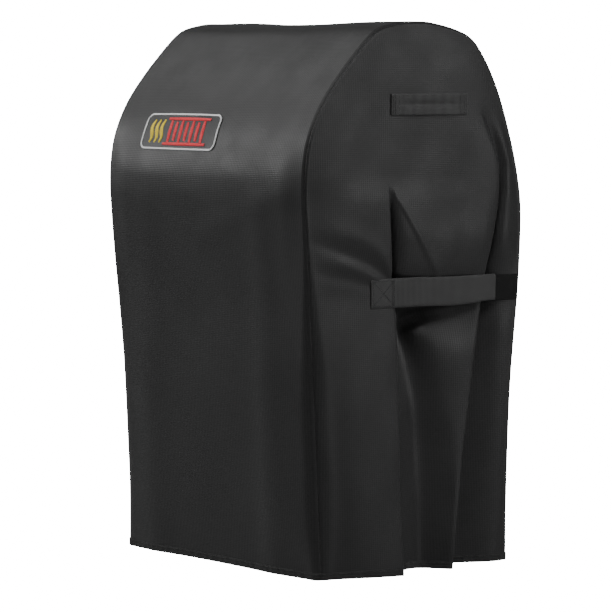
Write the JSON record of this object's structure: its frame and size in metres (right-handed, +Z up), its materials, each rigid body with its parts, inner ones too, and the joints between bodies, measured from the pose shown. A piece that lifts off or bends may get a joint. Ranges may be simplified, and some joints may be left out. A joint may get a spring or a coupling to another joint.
{
  "type": "grill cover",
  "caption": "Fitted cloth cover for a small cart grill: domed top, pleated sides drawn in by hook-and-loop straps, a lifting handle on each side, bound hem and a sewn badge.",
  "frame": {"origin": "middle of the bounding box on the surface the hem stands on", "axes": "+Z up; the badge's side, the front, faces -Y; +X is the side to the viewer's right when facing the front"},
  "size_m": [0.7114, 0.56, 1.09],
  "materials": {
    "cloth": "coated polyester cloth with a fine diagonal weave, low sheen",
    "binding_tape": "woven polyester tape, matt",
    "webbing": "ribbed woven webbing, matt",
    "hook_tape": "moulded hook tape, matt",
    "dark_thread": "sewing thread",
    "white_thread": "embroidery thread",
    "red_thread": "embroidery thread",
    "yellow_thread": "embroidery thread"
  },
  "bodies": {
    "cover": {"center_panel": "cloth", "right_side_panel": "cloth", "left_side_panel": "cloth", "right_seam_tape": "binding_tape", "left_seam_tape": "binding_tape", "hem_binding": "binding_tape", "hem_stitching": "dark_thread", "right_strap_anchor": "webbing", "left_strap_anchor": "webbing", "right_strap_stitching": "dark_thread", "left_strap_stitching": "dark_thread", "right_hook_tape": "hook_tape", "left_hook_tape": "hook_tape", "right_handle_tabs": "webbing", "left_handle_tabs": "webbing", "right_handle_stitching": "dark_thread", "left_handle_stitching": "dark_thread", "badge_ground": "cloth", "badge_border": "white_thread", "badge_grate": "red_thread", "badge_heat_waves": "yellow_thread"},
    "right_strap": {"right_strap": "webbing"},
    "left_strap": {"left_strap": "webbing"},
    "right_handle": {"right_handle_grip": "webbing"},
    "left_handle": {"left_handle_grip": "webbing"}
  },
  "joints": [
    {"name": "right_strap_hinge", "type": "hinge", "parent": "cover", "child": "right_strap", "pos_m": [0.33185, -0.0539, 0.558], "axis": [0, 0, -1], "range_deg": [0, 150]},
    {"name": "left_strap_hinge", "type": "hinge", "parent": "cover", "child": "left_strap", "pos_m": [-0.33185, -0.0539, 0.558], "axis": [0, 0, 1], "range_deg": [0, 150]},
    {"name": "right_handle_hinge", "type": "hinge", "parent": "cover", "child": "right_handle", "pos_m": [0.33745, 0.024, 0.9465], "axis": [0, -1, 0], "range_deg": [0, 80]},
    {"name": "left_handle_hinge", "type": "hinge", "parent": "cover", "child": "left_handle", "pos_m": [-0.33745, 0.024, 0.9465], "axis": [0, 1, 0], "range_deg": [0, 80]}
  ]
}
